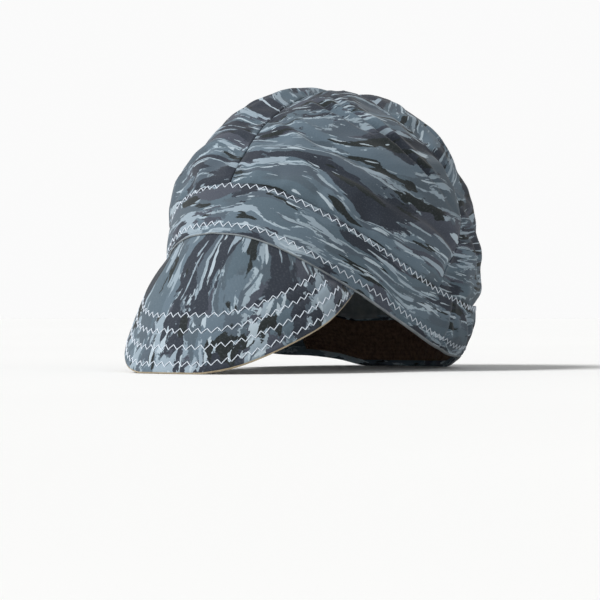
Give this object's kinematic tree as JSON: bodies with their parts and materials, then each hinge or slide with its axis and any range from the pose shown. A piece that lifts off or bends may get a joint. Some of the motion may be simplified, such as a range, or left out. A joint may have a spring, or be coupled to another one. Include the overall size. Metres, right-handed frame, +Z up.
{
  "type": "welding cap",
  "caption": "Soft low welding cap with a panelled crown, an even headband and a short drooping cloth peak with zigzag stitching.",
  "frame": {"origin": "centre of the bounding box at the surface that the cap rests on", "axes": "+Z up, -Y towards the front and the peak, +X towards the wearer's left"},
  "size_m": [0.1664, 0.2524, 0.1634],
  "materials": {
    "crown_cloth": "matt printed cotton twill, grey-blue tiger stripes",
    "band_cloth": "matt printed cotton twill, grey-blue tiger stripes",
    "peak_cloth": "matt printed cotton twill above, mottled olive cotton below",
    "dark_elastic": "dark brown ribbed elastic"
  },
  "bodies": {
    "root": {"crown_front_left": "crown_cloth", "crown_front_right": "crown_cloth", "crown_back_left": "crown_cloth", "crown_back_right": "crown_cloth", "headband": "band_cloth", "peak": "peak_cloth", "nape_elastic": "dark_elastic"}
  },
  "joints": []
}
